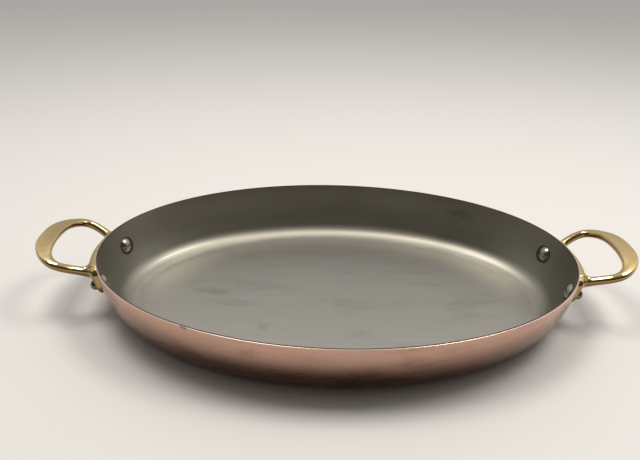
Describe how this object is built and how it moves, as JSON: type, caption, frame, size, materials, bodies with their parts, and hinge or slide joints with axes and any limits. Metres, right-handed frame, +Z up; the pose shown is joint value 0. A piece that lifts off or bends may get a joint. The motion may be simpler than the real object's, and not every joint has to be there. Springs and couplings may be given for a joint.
{
  "type": "oval gratin pan",
  "caption": "Shallow oval copper gratin pan lined with stainless steel, with cast brass loop handles riveted to its ends.",
  "frame": {"origin": "the middle of the flat base, on the surface that the pan stands on", "axes": "+X along the pan from the left handle to the right handle, +Y across it away from the viewer, +Z up"},
  "size_m": [0.4336, 0.23, 0.0525],
  "materials": {
    "copper": "satin copper, a little tarnished",
    "lining_steel": "fine brushed satin",
    "handle_brass": "cast and polished",
    "rivet_steel": "satin, domed"
  },
  "bodies": {
    "root": {"copper_shell": "copper", "steel_lining": "lining_steel", "right_handle": "handle_brass", "left_handle": "handle_brass", "right_front_rivet": "rivet_steel", "right_back_rivet": "rivet_steel", "left_front_rivet": "rivet_steel", "left_back_rivet": "rivet_steel"}
  },
  "joints": []
}
